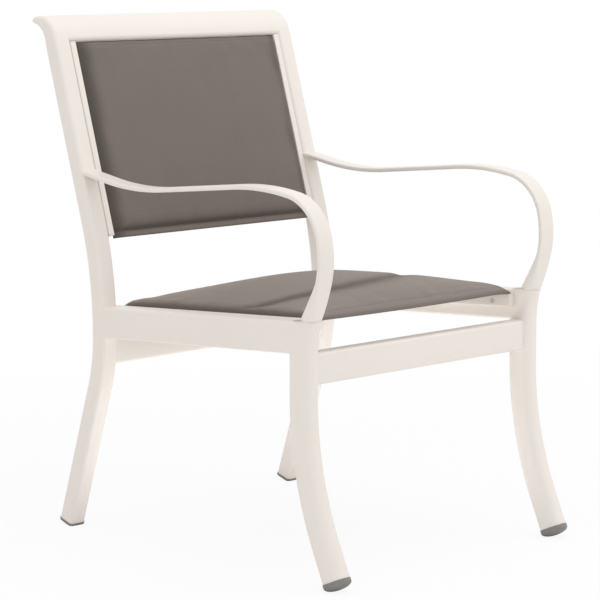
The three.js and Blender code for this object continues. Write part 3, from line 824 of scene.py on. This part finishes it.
backPad = {
    "name": "back",
    "origin": (0, postY, post["waistHeight"]),
    "turn": -post["recline"],
    "face": 0.002 - post["depth"] / 2,
    "start": backStart,
    "length": crestBottom - sling["padGap"] - backStart,
    "crown": 0.001,
    "crownRow": 0.160,
    "startPower": 2.4,
    "endPower": 2.4,
    "puff": 0.0082,
    "sidePuffWidth": 0.026,
    "endPuffWidth": 0.022,
    "backPuff": 0.006,
    "backCrownShare": -1,
    "endLift": 0.0,
    "startHem": 0.0135,
    "endHem": 0.002,
    "startSag": 0,
    "hemCurl": 0.0035,
    "startSeam": 0.0135,
    "endSeam": 0.0085,
    "startSeamDepth": 0.0016,
    "endSeamDepth": 0.0008,
    "crease": [],
    "creaseDepth": 0,
    # Painted shade, from 0 to 1: along the side edges, at the ends and at the seams.
    "creaseShade": 0,
    "leftShade": 0.76,
    "leftShadeWidth": 0.024,
    "rightShade": 0.62,
    "rightShadeWidth": 0.018,
    "startShade": 0.5,
    "endShade": 0.9,
    "endShadeWidth": 0.0030,
    "startSeamShade": 0.55,
    "endSeamShade": 0.04,
    # The back gets no painted light.
    "wear": 0,
    "frontPaintedLight": 0,
    "paintedLightRow": 0.1,
}
# The pads are blown up a little by a cloth simulation on a coarse copy.
swell = {
    "cells": 44,
    "frames": 20,
    "quality": 6,
    "pressure": 4.0,
    "slack": -0.025,
    "heldEdge": 0.002,
    "cap": 0.0045,
    "sameHeight": 0.00001,
}
padHalfWidth = memberX - halfMember - shared["railGap"] - sling["railWidth"] - sling["padGap"]


def ease(distance, width):
    share = min(max(distance / width, 0), 1)
    return share * share * (3 - 2 * share)


def pressed(distance, width):
    return math.exp(-((distance / width) ** 2))


# A quarter of an ellipse: steep at the edge, level once the width is passed.
def bulge(distance, width):
    past = min(max(1 - distance / width, 0), 1)
    return math.sqrt(1 - past * past)


# Distances across a pad: close together in the rounded edge and over the hem, then even.
def padStations(length):
    rows, last = sling["edgeRows"], sling["hemReach"]
    edge = [sling["edgeRadius"] * (1 - math.cos(math.pi / 2 * i / rows)) for i in range(rows + 1)]
    count = sling["hemRows"]
    near = edge + [edge[-1] + (last - edge[-1]) * i / count for i in range(1, count + 1)]
    count = round((length - 2 * last) / sling["middlePitch"])
    middle = [last + (length - 2 * last) * i / count for i in range(1, count)]
    return near + middle + [length - place for place in reversed(near)]


def nearestEnd(pad, row):
    return ("start", row) if row < pad["length"] / 2 else ("end", pad["length"] - row)


# How deep a pad's fold is at a place, from 0 to 1: it falls steeply from behind, rises gently in
# front and fades out at the side edges.
def foldShare(pad, x, row, fromSide):
    for (x0, row0), (x1, row1) in zip(pad["crease"], pad["crease"][1:]):
        if x0 <= x <= x1:
            behind = row - row0 - (row1 - row0) * (x - x0) / (x1 - x0)
            width = pad["creaseRear"] if behind > 0 else pad["creaseFront"]
            return pressed(behind, width) * ease(fromSide, sling["foldEase"])
    return 0


# Small puckers, strongest beside the edges that are sewn or held.
def pucker(x, row, fromSide, fromEnd):
    scale, width = sling["puckerScale"], sling["puckerWidth"]
    wave = noise.noise(Vector((x * scale, row * scale, noisePlane["pucker"])))
    return sling["puckerDepth"] * wave * pressed(min(fromSide, fromEnd) - width, width)


# Heights of a pad's face and back at a place, in the panel's own layout.
def padHeights(pad, x, row, lifts=None):
    fromSide = max(padHalfWidth - abs(x), 0)
    near, fromEnd = nearestEnd(pad, row)
    rim = sling["halfEdge"] * bulge(fromEnd, sling["edgeRadius"])
    puff = bulge(fromSide, pad["sidePuffWidth"]) * bulge(fromEnd - pad[near + "Hem"], pad["endPuffWidth"])
    before = pad["crownRow"] - row
    reach = pad["crownRow"] if before > 0 else pad["length"] - pad["crownRow"]
    power = pad["startPower"] if before > 0 else pad["endPower"]
    bow = 1 - min(abs(x / padHalfWidth), 1) ** 2
    crown = pad["crown"] * bow * (1 - (abs(before) / reach) ** power)
    lift = pad["endLift"] * ease(fromSide, sling["liftSideEase"]) * (1 - ease(fromEnd, sling["liftEndEase"]))
    curl = 0
    if pad["hemCurl"]:
        curl = pad["hemCurl"] * ease(fromSide, sling["curlEase"]) * (1 - ease(row, pad["startHem"]))
    sag = pad["startSag"] * bow * (1 - ease(row, sling["sagEase"]))
    level = -pad["face"] - sling["channelInset"] + lift + curl - sag
    seamLine = pressed(fromEnd - pad[near + "Seam"], sling["seamWidth"])
    seam = pad[near + "SeamDepth"] * seamLine * ease(fromSide, sling["seamEase"])
    fold = pad["creaseDepth"] * foldShare(pad, x, row, fromSide)
    face = level + rim + pad["puff"] * puff + crown - seam - fold + pucker(x, row, fromSide, fromEnd)
    back = level - rim - pad["backPuff"] * puff + crown * pad["backCrownShare"]
    if lifts:
        face += liftAt(lifts[True], pad, x, row)
        back += liftAt(lifts[False], pad, x, row)
    return face, back


# Painted shade: how much darker the cloth is painted at a place, for the shadow along its side edges,
# which waver, at its ends, at its hems' seams and in its fold.
def padShade(pad, x, row):
    fromSide = max(padHalfWidth - abs(x), 0)
    edge = "left" if x < 0 else "right"
    scaleX, scaleRow = sling["shadeWaverScale"]
    wave = noise.noise(Vector((x * scaleX, row * scaleRow, noisePlane["shade"])))
    width = pad[edge + "ShadeWidth"] * (1 + sling["shadeWaver"] * wave)
    side = pad[edge + "Shade"] * math.exp(-((fromSide / width) ** sling["shadePower"]))
    near, fromEnd = nearestEnd(pad, row)
    end = pad[near + "Shade"] * pressed(fromEnd, pad["endShadeWidth"])
    fromSeam = fromEnd - pad[near + "Seam"]
    seamLine = pressed(fromSeam, sling["seamShadeInside" if fromSeam > 0 else "seamShadeOutside"])
    seam = pad[near + "SeamShade"] * seamLine * ease(fromSide, sling["seamShadeEase"])
    fold = pad["creaseShade"] * foldShare(pad, x, row, fromSide)
    return min(max(side, end, seam) + fold, 1)


# Painted light on the face: the seat is painted a little lighter all over, most of all in front of its fold.
def padPaintedLight(pad, row):
    return pad["wear"] + pad["frontPaintedLight"] * ease(pad["paintedLightRow"] - row, pad["paintedLightRow"] / 2)


# What the simulation adds at a place, from its four nearest points.
def liftAt(grid, pad, x, row):
    cells = swell["cells"]
    across = min(max((x + padHalfWidth) / (2 * padHalfWidth), 0), 1) * cells
    along = min(max(row / pad["length"], 0), 1) * cells
    i, j = min(int(across), cells - 1), min(int(along), cells - 1)
    u, v = across - i, along - j
    near = grid[j][i] * (1 - u) + grid[j][i + 1] * u
    far = grid[j + 1][i] * (1 - u) + grid[j + 1][i + 1] * u
    return near * (1 - v) + far * v


def panelMatrix(pad):
    return Matrix.Translation(pad["origin"]) @ Matrix.Rotation(pad["turn"], 4, "X")


# One face of a pad: a grid set on the pad's surface. The first UV map is in metres, for the weave;
# the second holds the painted shade of the seams, side edges, ends and fold, and the seat's painted light.
def padSheet(pad, places, width, faceSide, lifts=None):
    deselect()
    rows = len(places) // width
    bpy.ops.mesh.primitive_grid_add(x_subdivisions=width - 1, y_subdivisions=rows - 1, size=1)
    sheet = bpy.context.object
    matrix = panelMatrix(pad)
    for vertex, (x, row) in zip(sheet.data.vertices, places, strict=True):
        heights = padHeights(pad, x, row, lifts)
        vertex.co = matrix @ Vector((x, -heights[0 if faceSide else 1], pad["start"] + row))
    weave = sheet.data.uv_layers.active
    weave.name = "weave"
    marks = sheet.data.uv_layers.new(name="marks")
    values = [(padShade(pad, x, row), padPaintedLight(pad, row) if faceSide else 0) for x, row in places]
    for loop, uv, paintedUv in zip(sheet.data.loops, weave.data, marks.data, strict=True):
        uv.uv = places[loop.vertex_index]
        paintedUv.uv = values[loop.vertex_index]
    return sheet


# Both faces of a pad in one closed mesh.
def padShell(pad, places, width, lifts=None):
    front = padSheet(pad, places, width, True, lifts)
    rear = padSheet(pad, places, width, False, lifts)
    deselect()
    rear.select_set(True)
    front.select_set(True)
    bpy.context.view_layer.objects.active = front
    bpy.ops.object.join()
    bpy.ops.object.mode_set(mode="EDIT")
    bpy.ops.mesh.select_all(action="SELECT")
    bpy.ops.mesh.remove_doubles(threshold=shared["mergeDistance"])
    bpy.ops.mesh.normals_make_consistent(inside=False)
    bpy.ops.object.mode_set(mode="OBJECT")
    return front


# Cloth simulation: the coarse copy is held along its edges and blown up. The result is how far each
# point of the face (True) and the back (False) has risen, scaled so that none rises past the cap.
def blowUp(pad):
    cells = swell["cells"]
    places = [(padHalfWidth * (2 * i / cells - 1), pad["length"] * j / cells)
              for j in range(cells + 1) for i in range(cells + 1)]
    copy = padShell(pad, places, cells + 1)
    copy.name = f"{pad['name']}_swell"
    inverse = panelMatrix(pad).inverted()
    starts = [inverse @ vertex.co for vertex in copy.data.vertices]
    held = []
    for i, start in enumerate(starts):
        near, fromEnd = nearestEnd(pad, start.z - pad["start"])
        edge = swell["heldEdge"]
        if padHalfWidth - abs(start.x) < edge or fromEnd < max(pad[near + "Hem"], edge):
            held.append(i)
    copy.vertex_groups.new(name="held").add(held, 1.0, "REPLACE")
    bpy.ops.object.modifier_add(type="CLOTH")
    cloth = copy.modifiers[-1]
    cloth.settings.quality = swell["quality"]
    cloth.settings.vertex_group_mass = "held"
    cloth.settings.use_pressure = True
    cloth.settings.uniform_pressure_force = swell["pressure"]
    cloth.settings.shrink_min = swell["slack"]
    cloth.settings.effector_weights.gravity = 0
    cloth.point_cache.frame_start = 1
    cloth.point_cache.frame_end = swell["frames"]
    for moment in range(1, swell["frames"] + 1):
        bpy.context.scene.frame_set(moment)
    bpy.ops.object.modifier_apply(modifier=cloth.name)
    bpy.context.scene.frame_set(1)
    lifts = {faceSide: [[0.0] * (cells + 1) for j in range(cells + 1)] for faceSide in (True, False)}
    for start, vertex in zip(starts, copy.data.vertices, strict=True):
        row = start.z - pad["start"]
        i, j = round((start.x / padHalfWidth + 1) * cells / 2), round(row / pad["length"] * cells)
        risen = start.y - (inverse @ vertex.co).y
        face, back = padHeights(pad, start.x, row)
        for faceSide, height in ((True, face), (False, back)):
            if abs(-start.y - height) < swell["sameHeight"]:
                lifts[faceSide][j][i] = risen
    most = max(abs(value) for grid in lifts.values() for line in grid for value in line)
    scale = min(1, swell["cap"] / most) if most > 0 else 0
    print(f"{pad['name']} pad blown up: {most * 1000:.1f} mm before the cap")
    bpy.data.objects.remove(copy, do_unlink=True)
    return {side: [[value * scale for value in line] for line in grid] for side, grid in lifts.items()}


# The side edges run on into the rails' slots between the rails' ends.
def padPlaces(pad):
    columns = [column - padHalfWidth for column in padStations(2 * padHalfWidth)]
    begin, fade = sling["slotEnd"], sling["slotEase"]
    places = []
    for row in padStations(pad["length"]):
        inSlot = ease(row - begin, fade) * ease(pad["length"] - begin - row, fade)
        tip = padHalfWidth + sling["slotReach"] * inSlot
        places += [(-tip, row)] + [(x, row) for x in columns] + [(tip, row)]
    return places, len(columns) + 2


def makePad(pad):
    lifts = blowUp(pad)
    places, width = padPlaces(pad)
    shell = padShell(pad, places, width, lifts)
    name = f"{pad['name']}_sling"
    shell.name = shell.data.name = f"padded_{name}"
    bpy.ops.object.shade_smooth()
    finishPiece(shell, clothMaterial, "sling", name)
    for seamName, row in (("start", pad["startSeam"]), ("end", pad["length"] - pad["endSeam"])):
        makeStitches(pad, seamName, row, lifts)


# A row of stitches lying on the pad's face along a hem's seam.
def makeStitches(pad, seamName, row, lifts):
    count = int(2 * (padHalfWidth - sling["stitchMargin"]) / sling["stitchPitch"])
    first = -sling["stitchPitch"] * (count - 1) / 2
    deselect()
    bpy.ops.mesh.primitive_uv_sphere_add(segments=sling["threadSides"], ring_count=sling["threadRings"],
                                         radius=1)
    thread = bpy.context.object
    thick = sling["threadRadius"]
    for vertex in thread.data.vertices:
        x, y, z = vertex.co
        vertex.co = (first + z * sling["stitchLength"] / 2, y * thick, x * thick)
    array = thread.modifiers.new("stitches", "ARRAY")
    array.count = count
    array.use_relative_offset = False
    array.use_constant_offset = True
    array.constant_offset_displace = (sling["stitchPitch"], 0, 0)
    bpy.ops.object.modifier_apply(modifier=array.name)
    matrix = panelMatrix(pad)
    for vertex in thread.data.vertices:
        x, out, along = vertex.co
        face = padHeights(pad, x, row, lifts)[0]
        vertex.co = matrix @ Vector((x, -face - out, pad["start"] + row + along))
    bpy.ops.object.shade_smooth()
    thread.name = thread.data.name = f"stitched_{pad['name']}_{seamName}_hem"
    finishPiece(thread, threadMaterial, "sling")


for pad in (seatPad, backPad):
    makePad(pad)
print("slings made")


# Plain pale floor and soft studio light.
studio = {
    "floorColour": (0.93, 0.93, 0.93, 1),
    "floorRadius": 30,
    "floorSides": 96,
    "floorRoughness": 0.9,
    "floorSpecular": 0.1,
    "floorGlow": 0.9,          # how much of the seen floor is plain white rather than lit paper
    "glowStart": 0.8,          # from here to its end, measured from the chair, the glow grows to full
    "glowEnd": 2.2,
    "worldStrength": 0.75,
    "lamps": {
        "overhead": {"place": (0.3, -0.4, 2.8), "aim": 0.45, "size": 2.6, "watts": 17},
        "front_right": {"place": (1.6, -2.6, 1.4), "aim": 0.45, "size": 2.2, "watts": 11},
        "left": {"place": (-2.6, -0.6, 1.2), "aim": 0.45, "size": 2.0, "watts": 5},
        "table_bounce": {"place": (0, 0, 0.004), "aim": 9, "size": 0.5, "watts": 1.3},
    },
}


def makeFloor():
    deselect()
    bpy.ops.mesh.primitive_circle_add(vertices=studio["floorSides"], radius=studio["floorRadius"],
                                      fill_type="NGON")
    floor = bpy.context.object
    floor.name = "studio_floor"
    paper = Finish("studio_paper", Roughness=studio["floorRoughness"],
                   Specular_IOR_Level=studio["floorSpecular"])
    distance = paper.node("VectorMath", {"operation": "LENGTH"}, {0: paper.place()}, "Value")
    inputs = {"Value": distance, 1: studio["glowStart"], 2: studio["glowEnd"]}
    away = paper.node("MapRange", {"interpolation_type": "SMOOTHSTEP"}, inputs)
    camera = paper.node("LightPath", {}, {}, "Is Camera Ray")
    paper.wear("Base Color", studio["floorColour"])
    white = paper.node("Emission", {}, {"Color": (1, 1, 1, 1), "Strength": 1.0})
    surface = Wire(paper, paper.shader.outputs[0])
    share = (studio["floorGlow"] + away * (1 - studio["floorGlow"])) * camera
    mixed = paper.node("MixShader", {}, {0: share, 1: surface, 2: white})
    paper.plug(paper.tree.nodes["Material Output"].inputs["Surface"], mixed)
    floor.data.materials.append(paper.material)


# The world is white where it is seen or mirrored, and dimmer where it lights the chair.
def makeLight():
    world = bpy.data.worlds.new("studio_world")
    bpy.context.scene.world = world
    world.use_nodes = True
    nodes, links = world.node_tree.nodes, world.node_tree.links
    background = nodes["Background"]
    background.inputs["Color"].default_value = (1, 1, 1, 1)
    path = nodes.new("ShaderNodeLightPath")
    seen = nodes.new("ShaderNodeMath")
    seen.operation = "MAXIMUM"
    links.new(path.outputs["Is Camera Ray"], seen.inputs[0])
    links.new(path.outputs["Is Glossy Ray"], seen.inputs[1])
    level = nodes.new("ShaderNodeMapRange")
    level.inputs["To Min"].default_value = studio["worldStrength"]
    level.inputs["To Max"].default_value = 1.0
    links.new(seen.outputs[0], level.inputs["Value"])
    links.new(level.outputs[0], background.inputs["Strength"])
    for name, lamp in studio["lamps"].items():
        bpy.ops.object.light_add(type="AREA", location=lamp["place"])
        light = bpy.context.object
        light.name = f"{name}_lamp"
        light.data.shape = "DISK"
        light.data.size = lamp["size"]
        light.data.energy = lamp["watts"]
        light.visible_camera = False
        light.visible_glossy = False
        towards = Vector((0, 0, lamp["aim"])) - Vector(lamp["place"])
        light.rotation_euler = towards.to_track_quat("-Z", "Y").to_euler()


# The photograph's viewpoint: a long lens from the front left, a little above the arms.
viewpoint = {
    "azimuth": math.radians(-44.38),
    "elevation": math.radians(8.149),
    "place": (-3.0992, -3.1649, 1.0506),
    "lens": 150.39,
    "sensor": 36,
    "farClip": 100,
}


def makeCamera():
    azimuth, elevation = viewpoint["azimuth"], viewpoint["elevation"]
    level = math.cos(elevation)
    back = Vector((math.sin(azimuth) * level, -math.cos(azimuth) * level, math.sin(elevation)))
    bpy.ops.object.camera_add(location=viewpoint["place"])
    camera = bpy.context.object
    camera.rotation_euler = back.to_track_quat("Z", "Y").to_euler()
    camera.data.lens = viewpoint["lens"]
    camera.data.sensor_width = viewpoint["sensor"]
    camera.data.clip_end = viewpoint["farClip"]
    bpy.context.scene.camera = camera


makeFloor()
makeLight()
makeCamera()
bpy.context.scene.view_settings.view_transform = "Standard"
print("studio made")
